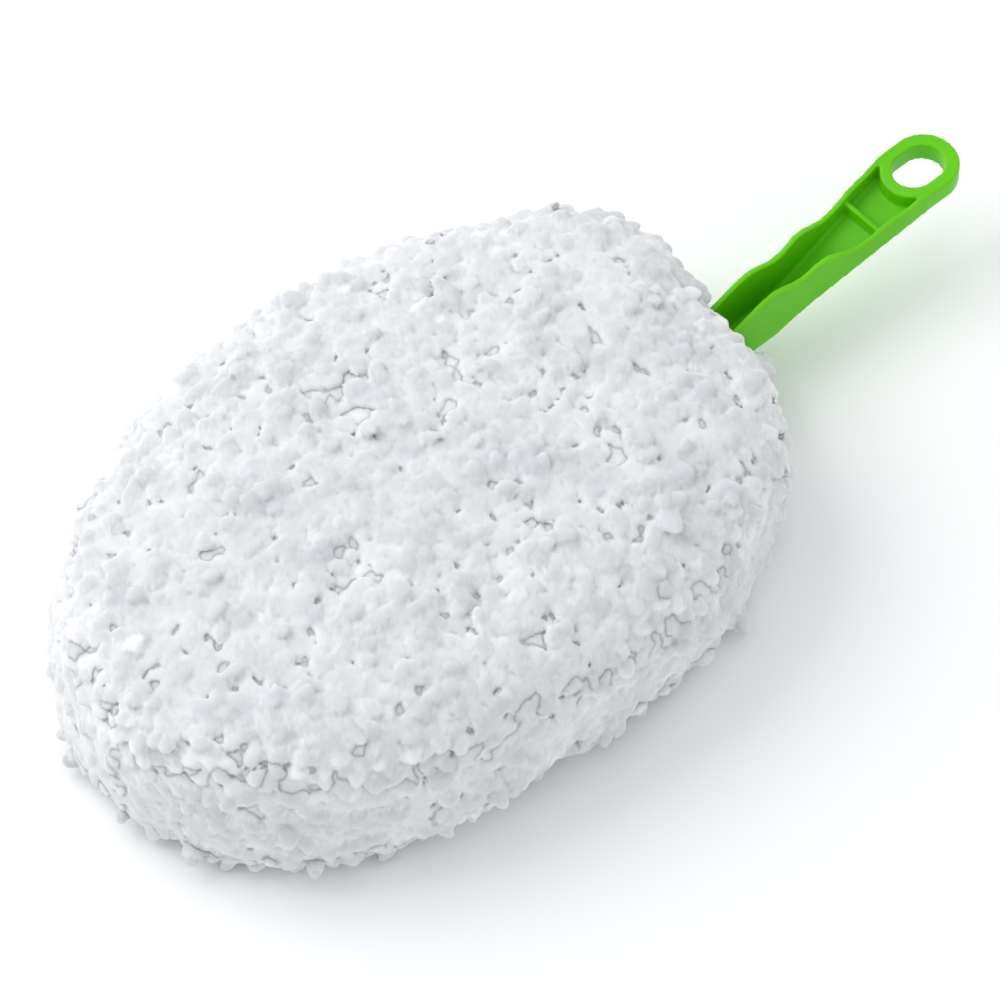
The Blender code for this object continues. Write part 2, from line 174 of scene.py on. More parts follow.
class HandleSettings(PropertyGroup):
    grain_size: FloatProperty(
        name="Mesh size", description="Size of the mesh that rounds the moulding's edges",
        default=0.5 * MM, unit="LENGTH")
    softening: IntProperty(
        name="Edge softening", description="Smoothing passes that round the edges", default=3)
    colour: FloatVectorProperty(
        name="Plastic colour", description="Colour of the moulded plastic",
        default=(0.125, 0.55, 0.004), size=3, subtype="COLOR", min=0.0, max=1.0)


class LiningSettings(PropertyGroup):
    cloth_colour: FloatVectorProperty(
        name="Lining colour", description="Colour of the pocket's lining and hem",
        default=(0.70, 0.71, 0.73), size=3, subtype="COLOR", min=0.0, max=1.0)
    foam_colour: FloatVectorProperty(
        name="Foam colour", description="Colour of the sponge filling",
        default=(0.62, 0.63, 0.64), size=3, subtype="COLOR", min=0.0, max=1.0)
    elastic_colour: FloatVectorProperty(
        name="Elastic colour", description="Colour of the mouth's elastic",
        default=(0.64, 0.64, 0.63), size=3, subtype="COLOR", min=0.0, max=1.0)


class StageSettings(PropertyGroup):
    elevation: FloatProperty(
        name="Elevation", description="Camera's height angle", default=math.radians(54.0),
        subtype="ANGLE")
    turn: FloatProperty(
        name="Turn", description="Camera's angle round the object", default=math.radians(41.9),
        subtype="ANGLE")
    distance: FloatProperty(
        name="Distance", description="Camera to target", default=2.2, unit="LENGTH")
    lens: FloatProperty(
        name="Lens", description="Focal length in millimetres", default=247.9)
    floor_colour: FloatVectorProperty(
        name="Floor colour", description="Colour of the floor", default=(0.95, 0.95, 0.95),
        size=3, subtype="COLOR", min=0.0, max=1.0)
    key_power: FloatProperty(
        name="Key light", description="Power of the large soft lamp in watts", default=20.0)
    fill_power: FloatProperty(
        name="Fill light", description="Power of the fill lamp in watts", default=0.8)
    room_light: FloatProperty(
        name="Room light", description="Strength of the light from all round", default=0.84)


# Selection and mesh helpers

def deselect_all():
    if bpy.context.object and bpy.context.object.mode != "OBJECT":
        bpy.ops.object.mode_set(mode="OBJECT")
    bpy.ops.object.select_all(action="DESELECT")


def make_active(item):
    deselect_all()
    item.select_set(True)
    bpy.context.view_layer.objects.active = item


def apply_modifier(item, kind, **values):
    make_active(item)
    step = item.modifiers.new(kind.title(), kind)
    for key, value in values.items():
        setattr(step, key, value)
    bpy.ops.object.modifier_apply(modifier=step.name)


def new_object(name, mesh):
    item = bpy.data.objects.new(name, mesh)
    bpy.context.scene.collection.objects.link(item)
    return item


def merged_copy(node, name):
    """A copy of a CAD node's mesh as a new piece, with its loose triangles joined up."""
    item = new_object(name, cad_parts[node].data.copy())
    item.data.materials.clear()
    make_active(item)
    bpy.ops.object.mode_set(mode="EDIT")
    bpy.ops.mesh.select_all(action="SELECT")
    bpy.ops.mesh.remove_doubles(threshold=0.005 * MM)
    bpy.ops.object.mode_set(mode="OBJECT")
    return item


def coordinates(item):
    points = np.zeros(len(item.data.vertices) * 3, np.float32)
    item.data.vertices.foreach_get("co", points)
    return points.reshape(-1, 3).astype(float)


def set_coordinates(item, points):
    item.data.vertices.foreach_set("co", np.asarray(points, np.float32).ravel())
    item.data.update()


def vertex_normals(item):
    normals = np.zeros(len(item.data.vertices) * 3, np.float32)
    item.data.vertex_normals.foreach_get("vector", normals)
    return normals.reshape(-1, 3).astype(float)


def finish_piece(item, body, finish, *nodes, angle=None):
    """Gives a piece its material, its smoothing and its body, and hides the CAD nodes it stands for.
    """
    item.data.materials.clear()
    item.data.materials.append(finish)
    make_active(item)
    if angle is None:
        bpy.ops.object.shade_smooth()
    else:
        bpy.ops.object.shade_smooth_by_angle(angle=math.radians(angle))
    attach(item, body)
    if nodes:
        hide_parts(*nodes)
    deselect_all()
    return item


# Material helpers

def new_group(name, inputs, outputs):
    group = bpy.data.node_groups.new(name, "ShaderNodeTree")
    for label, kind, value in inputs:
        socket = group.interface.new_socket(name=label, in_out="INPUT", socket_type=kind)
        if value is not None:
            socket.default_value = value
    for label, kind in outputs:
        group.interface.new_socket(name=label, in_out="OUTPUT", socket_type=kind)
    return group, group.nodes.new("NodeGroupInput"), group.nodes.new("NodeGroupOutput")


def add_node(tree, kind, links=None, **values):
    """A node with its settings, and its inputs linked from sockets or set to values."""
    node = tree.nodes.new(kind)
    for key, value in values.items():
        setattr(node, key, value)
    for key, source in (links or {}).items():
        if isinstance(source, bpy.types.NodeSocket):
            tree.links.new(source, node.inputs[key])
        else:
            node.inputs[key].default_value = source
    return node


def fibre_group():
    """Fine fibre: a mottled mask and a height, at a scale in strands per metre."""
    name = "fine_fibre"
    if name in bpy.data.node_groups:
        return bpy.data.node_groups[name]
    group, given, out = new_group(
        name, [("Scale", "NodeSocketFloat", 900.0), ("Patch Scale", "NodeSocketFloat", 60.0)],
        [("Mask", "NodeSocketFloat"), ("Height", "NodeSocketFloat")])
    place = add_node(group, "ShaderNodeTexCoord")
    strands = add_node(group, "ShaderNodeTexNoise", {
        "Vector": place.outputs["Object"], "Scale": given.outputs["Scale"],
        "Detail": 3.0, "Roughness": 0.6, "Distortion": 0.8})
    patches = add_node(group, "ShaderNodeTexNoise", {
        "Vector": place.outputs["Object"], "Scale": given.outputs["Patch Scale"],
        "Detail": 2.0, "Roughness": 0.5})
    spread = add_node(group, "ShaderNodeMapRange", {
        "Value": patches.outputs["Fac"], "From Min": 0.35, "From Max": 0.65})
    group.links.new(spread.outputs["Result"], out.inputs["Mask"])
    group.links.new(strands.outputs["Fac"], out.inputs["Height"])
    return group


def weave_group():
    """Plain weave: threads along X and Y of the object, as a mask of the gaps and a height."""
    name = "plain_weave"
    if name in bpy.data.node_groups:
        return bpy.data.node_groups[name]
    group, given, out = new_group(
        name, [("Threads", "NodeSocketFloat", 1100.0)],
        [("Gap", "NodeSocketFloat"), ("Height", "NodeSocketFloat")])
    place = add_node(group, "ShaderNodeTexCoord")
    waves = []
    for axis in ("X", "Y"):
        waves.append(add_node(group, "ShaderNodeTexWave", {
            "Vector": place.outputs["Object"], "Scale": given.outputs["Threads"],
            "Distortion": 0.6, "Detail": 1.0, "Detail Scale": 0.4},
            wave_type="BANDS", bands_direction=axis, wave_profile="SIN"))
    height = add_node(group, "ShaderNodeMath", {
        0: waves[0].outputs["Fac"], 1: waves[1].outputs["Fac"]}, operation="MULTIPLY")
    gap = add_node(group, "ShaderNodeMapRange", {
        "Value": height.outputs[0], "From Min": 0.0, "From Max": 0.35,
        "To Min": 1.0, "To Max": 0.0})
    group.links.new(gap.outputs["Result"], out.inputs["Gap"])
    group.links.new(height.outputs[0], out.inputs["Height"])
    return group


def new_material(name):
    made = bpy.data.materials.new(name)
    made.use_nodes = True
    tree = made.node_tree
    return made, tree, tree.nodes["Principled BSDF"]


def group_node(tree, group, **values):
    node = tree.nodes.new("ShaderNodeGroup")
    node.node_tree = group
    for key, value in values.items():
        node.inputs[key.replace("_", " ")].default_value = value
    return node


def mix_colour(tree, factor, first, second):
    node = add_node(tree, "ShaderNodeMix", data_type="RGBA")
    tree.links.new(factor, node.inputs["Factor"])
    for socket, value in ((node.inputs[6], first), (node.inputs[7], second)):
        if isinstance(value, bpy.types.NodeSocket):
            tree.links.new(value, socket)
        else:
            socket.default_value = (*value, 1.0)
    return node.outputs[2]


def shaded(colour, factor):
    return tuple(min(1.0, channel * factor) for channel in colour)


def bump(tree, shader, height, strength, distance):
    node = add_node(tree, "ShaderNodeBump", {
        "Height": height, "Strength": strength, "Distance": distance})
    tree.links.new(node.outputs["Normal"], shader.inputs["Normal"])
    return node


def pass_light(shader):
    """Light goes a little way into the white fibres and comes out again slightly warmer."""
    shader.inputs["Subsurface Weight"].default_value = 1.0
    shader.inputs["Subsurface Radius"].default_value = (1.0, 0.97, 0.93)
    shader.inputs["Subsurface Scale"].default_value = 5.0 * MM


def tuft_material(settings):
    """Microfibre pile: satin tips over roots painted paler, painted light that lifts the shade deep
    in the pile, with fine fibre over all.

    Its normal is part way to the ground's, because light passes from tuft to tuft.
    """
    made, tree, shader = new_material("microfibre_pile")
    fibre = group_node(tree, fibre_group(), Scale=1500.0, Patch_Scale=55.0)
    rise = add_node(tree, "ShaderNodeAttribute", attribute_name="rise")
    tone = add_node(tree, "ShaderNodeAttribute", attribute_name="tone")
    depth = add_node(tree, "ShaderNodeMapRange", {
        "Value": rise.outputs["Fac"], "From Min": 0.0, "From Max": 0.8},
        interpolation_type="SMOOTHSTEP")
    root = tuple(settings.painted_light_root_colour)
    tip = tuple(settings.tip_colour)
    cool = (tip[0] * 0.965, tip[1] * 0.98, tip[2])
    patchy = mix_colour(tree, fibre.outputs["Mask"], tip, cool)
    toned = mix_colour(tree, tone.outputs["Fac"], shaded(tip, 0.93), patchy)
    # Painted light: the colour runs from the paler root colour low in the pile to the tip colour,
    # lifting the shade between the tufts
    body = mix_colour(tree, depth.outputs["Result"], root, toned)
    tree.links.new(body, shader.inputs["Base Color"])
    rough = add_node(tree, "ShaderNodeMapRange", {
        "Value": fibre.outputs["Height"], "To Min": 0.66, "To Max": 0.86})
    tree.links.new(rough.outputs["Result"], shader.inputs["Roughness"])
    fine = bump(tree, shader, fibre.outputs["Height"], 0.35, 0.25 * MM)
    shape = add_node(tree, "ShaderNodeNewGeometry")
    facing = add_node(tree, "ShaderNodeAttribute", attribute_name="facing")
    outward = add_node(tree, "ShaderNodeVectorTransform", {"Vector": facing.outputs["Vector"]},
                       vector_type="NORMAL", convert_from="OBJECT", convert_to="WORLD")
    soft = add_node(tree, "ShaderNodeMix", data_type="VECTOR")
    soft.inputs["Factor"].default_value = settings.softness
    tree.links.new(shape.outputs["Normal"], soft.inputs[4])
    tree.links.new(outward.outputs["Vector"], soft.inputs[5])
    tree.links.new(soft.outputs[1], fine.inputs["Normal"])
    shader.inputs["Sheen Weight"].default_value = 0.25
    shader.inputs["Sheen Roughness"].default_value = 0.4
    pass_light(shader)
    shader.inputs["Specular IOR Level"].default_value = 0.35
    return made


def ground_material(settings):
    """Ground cloth of the pile: short mottled fibre, as pale as the tufts' roots, which are painted
    paler as painted light against the shade under the tufts.
    """
    made, tree, shader = new_material("pile_ground_cloth")
    fibre = group_node(tree, fibre_group(), Scale=1100.0, Patch_Scale=80.0)
    # Painted light: the ground takes the root colour, painted paler than the tips to lift the shade
    # under the tufts
    root = tuple(settings.painted_light_root_colour)
    colour = mix_colour(tree, fibre.outputs["Mask"], shaded(root, 0.97), shaded(root, 1.05))
    tree.links.new(colour, shader.inputs["Base Color"])
    bump(tree, shader, fibre.outputs["Height"], 0.6, 0.4 * MM)
    shader.inputs["Roughness"].default_value = 0.9
    shader.inputs["Sheen Weight"].default_value = 0.2
    pass_light(shader)
    return made


def cloth_material(name, colour, threads):
    made, tree, shader = new_material(name)
    weave = group_node(tree, weave_group(), Threads=threads)
    fibre = group_node(tree, fibre_group(), Scale=2200.0, Patch_Scale=45.0)
    mottled = mix_colour(tree, fibre.outputs["Mask"], shaded(colour, 0.94), colour)
    # Painted shade: the gaps between the threads, the low parts of the weave, are painted darker
    woven = mix_colour(tree, weave.outputs["Gap"], mottled, shaded(colour, 0.62))
    tree.links.new(woven, shader.inputs["Base Color"])
    height = add_node(tree, "ShaderNodeMath", {
        0: weave.outputs["Height"], 1: fibre.outputs["Height"]}, operation="ADD")
    bump(tree, shader, height.outputs[0], 0.5, 0.2 * MM)
    shader.inputs["Roughness"].default_value = 0.85
    shader.inputs["Sheen Weight"].default_value = 0.15
    return made


def foam_material(colour):
    """Open-cell sponge: pale ribs round pores painted darker, painted shade in the hollows of the
    cells.
    """
    made, tree, shader = new_material("open_cell_foam")
    place = add_node(tree, "ShaderNodeTexCoord")
    cells = add_node(tree, "ShaderNodeTexVoronoi", {
        "Vector": place.outputs["Object"], "Scale": 900.0}, feature="F1")
    pore = add_node(tree, "ShaderNodeMapRange", {
        "Value": cells.outputs["Distance"], "From Min": 0.15, "From Max": 0.6})
    fibre = group_node(tree, fibre_group(), Scale=700.0, Patch_Scale=50.0)
    base = mix_colour(tree, fibre.outputs["Mask"], shaded(colour, 0.93), colour)
    # Painted shade: the pores, the hollows of the bump, are painted darker
    porous = mix_colour(tree, pore.outputs["Result"], shaded(colour, 0.5), base)
    tree.links.new(porous, shader.inputs["Base Color"])
    bump(tree, shader, pore.outputs["Result"], 0.7, 0.4 * MM)
    shader.inputs["Roughness"].default_value = 0.95
    return made


def elastic_material(colour):
    """Ribbed elastic: rubber cords under a knitted cover."""
    made, tree, shader = new_material("ribbed_elastic")
    place = add_node(tree, "ShaderNodeTexCoord")
    ribs = add_node(tree, "ShaderNodeTexWave", {
        "Vector": place.outputs["Object"], "Scale": 260.0, "Distortion": 0.3},
        wave_type="BANDS", bands_direction="X")
    # Painted shade: the grooves between the ribs, the low parts of the bump, are painted darker
    colour_out = mix_colour(tree, ribs.outputs["Fac"], shaded(colour, 0.7), colour)
    tree.links.new(colour_out, shader.inputs["Base Color"])
    bump(tree, shader, ribs.outputs["Fac"], 0.6, 0.3 * MM)
    shader.inputs["Roughness"].default_value = 0.7
    return made


def plastic_material(colour):
    """Moulded polypropylene: fine spark grain, slight mottling and outer edges painted paler as a
    painted highlight.
    """
    made, tree, shader = new_material("green_polypropylene")
    place = add_node(tree, "ShaderNodeTexCoord")
    fibre = group_node(tree, fibre_group(), Scale=1800.0, Patch_Scale=38.0)
    # Painted highlight: outer edges, from the edge attribute and broken up by noise, are painted a
    # paler green; the same noise also varies the roughness
    painted_highlight_edges = add_node(tree, "ShaderNodeAttribute", attribute_name="edge")
    highlight_and_roughness_noise = add_node(tree, "ShaderNodeTexNoise", {
        "Vector": place.outputs["Object"], "Scale": 210.0, "Detail": 5.0, "Roughness": 0.7})
    broken_painted_highlight = add_node(tree, "ShaderNodeMath", {
        0: painted_highlight_edges.outputs["Fac"], 1: highlight_and_roughness_noise.outputs["Fac"]}, operation="MULTIPLY")
    painted_highlight_amount = add_node(tree, "ShaderNodeMapRange", {
        "Value": broken_painted_highlight.outputs[0], "From Min": 0.15, "From Max": 0.55, "To Max": 0.55})
    base = mix_colour(tree, fibre.outputs["Mask"], shaded(colour, 0.93), shaded(colour, 1.05))
    # Colour of the painted highlight on the edges
    pale = (colour[0] * 1.9, colour[1] * 1.12, colour[2] * 4.0)
    with_painted_highlight = mix_colour(tree, painted_highlight_amount.outputs["Result"], base, pale)
    tree.links.new(with_painted_highlight, shader.inputs["Base Color"])
    rough = add_node(tree, "ShaderNodeMapRange", {
        "Value": highlight_and_roughness_noise.outputs["Fac"], "To Min": 0.30, "To Max": 0.46})
    tree.links.new(rough.outputs["Result"], shader.inputs["Roughness"])
    bump(tree, shader, fibre.outputs["Height"], 0.12, 0.1 * MM)
    shader.inputs["Subsurface Weight"].default_value = 0.18
    shader.inputs["Subsurface Radius"].default_value = (0.35, 1.0, 0.12)
    shader.inputs["Subsurface Scale"].default_value = 1.6 * MM
    shader.inputs["Specular IOR Level"].default_value = 0.2
    return made


# The pad's form

def distance_to_line(points, line):
    """Distance in plan from each point to a line given in millimetres."""
    best = np.full(len(points), np.inf)
    corners = np.array(line, float) * MM
    for start, end in zip(corners, corners[1:]):
        along = end - start
        share = np.clip(((points[:, :2] - start) @ along) / (along @ along), 0, 1)
        nearest = start + share[:, None] * along
        best = np.minimum(best, np.linalg.norm(points[:, :2] - nearest, axis=1))
    return best


def parting_strength(points, width):
    """How much each point of the working face belongs to a parting, from 0 to 1."""
    strength = np.zeros(len(points))
    for line in PARTINGS:
        strength = np.maximum(strength, np.exp(-(distance_to_line(points, line) / width) ** 2))
    face = np.clip((points[:, 2] - PAD_TOP * 0.62) / (PAD_TOP * 0.2), 0, 1)
    return strength * face


def field(points, size, offset):
    """Smooth noise at each point, about -1 to 1, over features of one size."""
    shift = Vector((offset, offset * 1.7, offset * 0.3))
    return np.array([noise.noise(Vector(p) / size + shift) for p in points]) * 1.7


def pad_form(settings):
    """The pad's closed form under its pile: hull of both panels, drawn in, then swollen."""
    form = new_object("pad_form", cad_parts["front_pile"].data.copy())
    other = new_object("pad_form_back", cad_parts["rear_pile"].data.copy())
    make_active(form)
    other.select_set(True)
    bpy.ops.object.join()
    bpy.ops.object.mode_set(mode="EDIT")
    bpy.ops.mesh.select_all(action="SELECT")
    bpy.ops.mesh.convex_hull()
    bpy.ops.object.mode_set(mode="OBJECT")
    apply_modifier(form, "REMESH", mode="VOXEL", voxel_size=4.0 * MM)
    apply_modifier(form, "SMOOTH", iterations=6, factor=0.5)
    apply_modifier(form, "DISPLACE", strength=-settings.ground_inset, mid_level=0.0)
    start = coordinates(form)
    held = form.vertex_groups.new(name="partings")
    strength = parting_strength(start, settings.parting_width * 1.3)
    for index, value in enumerate(strength):
        held.add([index], float(min(1.0, value)), "REPLACE")
    swell_by_cloth(form, "partings", 20)
    moved = coordinates(form) - start
    reach = np.linalg.norm(moved, axis=1)
    limit = np.minimum(1.0, settings.swell / np.maximum(reach, 1e-9))
    swollen = start + moved * limit[:, None]
    lumps = field(swollen, 24 * MM, 3.0) * 0.9 * MM + field(swollen, 52 * MM, 8.0) * 1.0 * MM
    for middle, size, height in BULGES:
        away = np.linalg.norm(swollen - np.array(middle) * MM, axis=1) / (size * MM)
        lumps += np.exp(-away ** 2) * height * MM
    sink = settings.parting_depth * strength
    rest = np.clip(swollen[:, 2] / (12 * MM), 0, 1)
    swollen += vertex_normals(form) * (lumps * rest - sink)[:, None]
    set_coordinates(form, swollen)
    return form


def swell_by_cloth(item, held, last_frame, pressure=4.0):
    """Inflates a closed mesh as cloth, with a vertex group held, and applies the result."""
    make_active(item)
    scene = bpy.context.scene
    cloth = item.modifiers.new("Cloth", "CLOTH")
    settings = cloth.settings
    settings.quality = 4
    settings.mass = 0.3
    settings.use_pressure = True
    settings.uniform_pressure_force = pressure
    settings.effector_weights.gravity = 0.0
    if held:
        settings.vertex_group_mass = held
    cloth.point_cache.frame_start = 1
    cloth.point_cache.frame_end = last_frame
    for number in range(1, last_frame + 1):
        scene.frame_set(number)
    bpy.ops.object.modifier_apply(modifier=cloth.name)
    scene.frame_set(1)


def add_ground(form, node, name, finish):
    """One panel's padded ground: the CAD panel, mouth and pocket included, cut to the form."""
    ground = merged_copy(node, name)
    apply_modifier(ground, "BOOLEAN", operation="INTERSECT", object=form, solver="EXACT")
    if len(ground.data.polygons) < 100:
        raise RuntimeError(f"{name} came out empty")
    finish_piece(ground, "cover", finish, node, angle=50)


# Tufts

def tuft_shape():
    """One tuft, modelled along +Z from its root to its plump tip."""
    deselect_all()
    bpy.ops.mesh.primitive_uv_sphere_add(segments=7, ring_count=6, radius=0.5,
                                         location=(0.0, 0.0, 0.5))
    item = bpy.context.object
    item.name = "tuft_shape"
    bpy.ops.object.transform_apply(location=True, rotation=True, scale=True)
    for low, high, size in ((-0.1, 0.3, 0.66), (-0.1, 0.1, 0.7), (0.6, 0.98, 1.12)):
        bpy.ops.object.mode_set(mode="EDIT")
        bpy.ops.mesh.select_all(action="DESELECT")
        bpy.ops.object.mode_set(mode="OBJECT")
        for vertex in item.data.vertices:
            vertex.select = low < vertex.co.z < high
        bpy.ops.object.mode_set(mode="EDIT")
        bpy.ops.transform.resize(value=(size, size, 1.0), center_override=(0.0, 0.0, 0.5))
        bpy.ops.object.mode_set(mode="OBJECT")
    points = coordinates(item)
    faces = [tuple(face.vertices) for face in item.data.polygons]
    bpy.data.objects.remove(item)
    return points, faces


def scatter(item, spacing, chance):
    """Points spread over a mesh no nearer than the spacing, with smooth normals."""
    mesh = item.data
    mesh.calc_loop_triangles()
    corners = np.zeros(len(mesh.loop_triangles) * 3, np.int32)
    mesh.loop_triangles.foreach_get("vertices", corners)
    corners = corners.reshape(-1, 3)
    points = coordinates(item)
    normals = vertex_normals(item)
    a, b, c = (points[corners[:, k]] for k in range(3))
    area = np.linalg.norm(np.cross(b - a, c - a), axis=1) / 2
    count = int(area.sum() / spacing ** 2 * TRIES_PER_TUFT)
    picked = chance.choice(len(area), count, p=area / area.sum())
    u, v = chance.random((2, count, 1))
    u, v = np.where(u + v > 1, 1 - u, u), np.where(u + v > 1, 1 - v, v)
    tri = corners[picked]
    weights = np.concatenate([1 - u - v, u, v], axis=1)
    spots = (points[tri] * weights[..., None]).sum(1)
    facing = (normals[tri] * weights[..., None]).sum(1)
    facing /= np.linalg.norm(facing, axis=1)[:, None]
    cells, kept = {}, []
    keys = np.floor(spots / spacing).astype(int)
    for index in range(count):
        x, y, z = keys[index]
        near = (other for i in (x - 1, x, x + 1) for j in (y - 1, y, y + 1)
                for k in (z - 1, z, z + 1) for other in cells.get((i, j, k), ()))
        spot = spots[index]
        if all(((spots[other] - spot) ** 2).sum() > spacing ** 2 for other in near):
            cells.setdefault((x, y, z), []).append(index)
            kept.append(index)
    return spots[kept], facing[kept]


def unit(vectors):
    return vectors / np.maximum(np.linalg.norm(vectors, axis=1), 1e-12)[:, None]


def lay_tufts(spots, facing, settings, chance):
    """Root, axis, size and tone of each tuft: leaning in clumps on the face, hanging at the side."""
    count = len(spots)
    size = settings.clump
    swirl = np.stack([field(spots, size * 1.6, k) for k in (1.0, 5.0, 9.0)], axis=1)
    loose = chance.normal(0, 0.45, (count, 3))
    outward = (spots - np.array(PAD_MIDDLE)) / np.array(
        (PAD_HALF_LENGTH, PAD_HALF_WIDTH, PAD_TOP))
    outward[:, 2] = 0
    side = np.clip(1.25 - np.abs(facing[:, 2]) * 1.4, 0, 1)
    hang = np.zeros((count, 3))
    hang[:, 2] = -1.35 * side
    part = np.zeros((count, 3))
    for line in PARTINGS:
        near = np.exp(-(distance_to_line(spots, line) / (4 * MM)) ** 2)
        middle = np.array(line, float).mean(0) * MM
        away = np.zeros((count, 3))
        along = np.array(line[-1], float) - np.array(line[0], float)
        across = np.array((-along[1], along[0])) / np.linalg.norm(along)
        away[:, :2] = np.sign((spots[:, :2] - middle) @ across)[:, None] * across
        part += away * (near * (facing[:, 2] > 0.5))[:, None] * 0.35
    # By weight: the clump's swirl, strays, away from the middle, down the side, off the partings
    way = swirl * 0.8 + loose + outward * 0.45 + hang + part
    way -= (way * facing).sum(1)[:, None] * facing
    way = unit(way)
    clump = field(spots, size, 21.0)
    upright = chance.random(count) < UPRIGHT_SHARE
    lean = np.where(upright, chance.normal(*STAND_LEAN, count),
                    chance.normal(*LIE_LEAN, count) - clump * 8)
    lean = np.radians(np.clip(lean, 5, 80))
    low = np.clip(1 - spots[:, 2] / UNDERSIDE_REACH, 0, 1) * side
    lean = lean * (1 - low) + np.radians(72) * low
    axis = facing * np.cos(lean)[:, None] + way * np.sin(lean)[:, None]
    scale = np.exp(chance.normal(0, 0.14, count))
    length = settings.tuft_length * scale * (1 + 0.10 * clump + 0.22 * low)
    width = settings.tuft_width * np.exp(chance.normal(0, 0.13, count)) * (1 + 0.12 * low)
    strength = parting_strength(spots, settings.parting_width)
    length *= (1 - 0.22 * strength) * np.where(upright, STAND_SIZE[0], 1)
    width *= np.where(upright, STAND_SIZE[1], 1)
    tone = np.clip(0.5 + 0.2 * clump + chance.normal(0, 0.3, count), 0, 1)
    root = spots - facing * ROOT_SINK
    return root, unit(axis), way, length, width, tone


def tuft_points(shape, root, axis, way, length, width):
    """All tufts' vertices, (tuft, vertex, 3): the shape turned, sized and drooped over its way."""
    across = unit(np.cross(axis, way))
    third = np.cross(axis, across)
    x, y, z = shape[:, 0], shape[:, 1], shape[:, 2]
    points = root[:, None, :] + axis[:, None, :] * (z[None, :] * length[:, None])[..., None]
    points += across[:, None, :] * (x[None, :] * width[:, None])[..., None]
    points += third[:, None, :] * (y[None, :] * width[:, None] * TUFT_FLATNESS)[..., None]
    droop = (z[None, :] ** 2) * (length * TUFT_DROOP)[:, None]
    points += way[:, None, :] * droop[..., None]
    return points


def pile_regions(spots, facing):
    """How far inside each region of the pile a spot lies, by its normal and a ragged border."""
    tilt = facing[:, 2] + BORDER_NOISE * field(spots, BORDER_REACH, 31.0)
    edge, hand = RIM_TILT - np.abs(tilt), facing[:, 1]
    return {"face": tilt - RIM_TILT, "back": -tilt - RIM_TILT,
            "near_side": np.minimum(edge, -hand), "far_side": np.minimum(edge, hand)}


def pile_layer(name, points, faces, rise, tone, facing, settings, finish):
    """The tufts of one region grown together into a closed, soft, lobed layer.

    rise: each vertex's height over the ground, tone: each tuft's shade, facing: its ground's normal
    """
    count, per, _ = points.shape
    corners = np.array([face if len(face) == 4 else face + face[-1:] for face in faces])
    sizes = np.array([len(face) for face in faces])
    loops = corners[None] + (np.arange(count) * per)[:, None, None]
    used = np.arange(4)[None] < sizes[:, None]
    begins = np.concatenate([[0], np.cumsum(np.tile(sizes, count))[:-1]])
    mesh = bpy.data.meshes.new(name)
    mesh.vertices.add(count * per)
    mesh.vertices.foreach_set("co", points.astype(np.float32).ravel())
    mesh.loops.add(int(sizes.sum()) * count)
    mesh.loops.foreach_set("vertex_index", loops[:, used].astype(np.int32).ravel())
    mesh.polygons.add(len(begins))
    mesh.polygons.foreach_set("loop_start", begins.astype(np.int32))
    mesh.update(calc_edges=True)
    mesh.validate()
    for label, values in (("rise", rise.ravel()), ("tone", np.repeat(tone, per))):
        layer = mesh.attributes.new(label, "FLOAT", "POINT")
        layer.data.foreach_set("value", values.astype(np.float32))
    layer = mesh.attributes.new("facing", "FLOAT_VECTOR", "POINT")
    layer.data.foreach_set("vector", np.repeat(facing, per, axis=0).astype(np.float32).ravel())
    mesh.remesh_voxel_size = settings.grain
    mesh.use_remesh_preserve_attributes = True
    item = new_object(name, mesh)
    make_active(item)
    bpy.ops.object.voxel_remesh()
    apply_modifier(item, "SMOOTH", factor=0.5, iterations=settings.soften)
    return finish_piece(item, "cover", finish)


def handle_tree():
    """The CAD moulding's surface, for distances."""
    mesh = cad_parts["handle_frame"].data
    return BVHTree.FromPolygons([vertex.co for vertex in mesh.vertices],
                                [face.vertices for face in mesh.polygons])


def clear_of_handle(points, handle, margin):
    """Whether each tuft keeps its distance from the moulding."""
    clear = np.ones(len(points), bool)
    middle = points.mean(1)
    near_end = middle[:, 0] > PAD_END_X - NECK_REACH
    near_line = np.abs(middle[:, 1]) < NECK_HALF_WIDTH
    for index in np.nonzero(near_end & near_line)[0]:
        for point in points[index]:
            spot, normal, _, distance = handle.find_nearest(Vector(point))
            inside = (Vector(point) - spot).dot(normal) < 0
            if distance < margin or inside and distance < NECK_DEPTH:
                clear[index] = False
                break
    return clear


def mouth_tufts(shape, chance):
    """Long tufts round the mouth, some of them over the handle's neck."""
    seam = np.array((PAD_END_X, 0.0, SEAM_Z))
    root = np.array([place for place, *_ in MOUTH_TUFTS]) * MM + seam
    yaw, pitch, length, width = np.array([values for _, *values in MOUTH_TUFTS]).T
    yaw = np.radians(yaw + chance.normal(0, 3, len(yaw)))
    pitch = np.radians(pitch)
    axis = np.stack([np.cos(yaw) * np.cos(pitch), np.sin(yaw) * np.cos(pitch), np.sin(pitch)],
                    axis=1)
    way = np.tile((0.2, 0.0, -1.0), (len(root), 1)) + chance.normal(0, 0.1, (len(root), 3))
    way = unit(way - (way * axis).sum(1)[:, None] * axis)
    return tuft_points(shape, root, axis, way, length * MM, width * MM)


# Operators

class WashOperator:
    bl_options = {"REGISTER", "UNDO"}


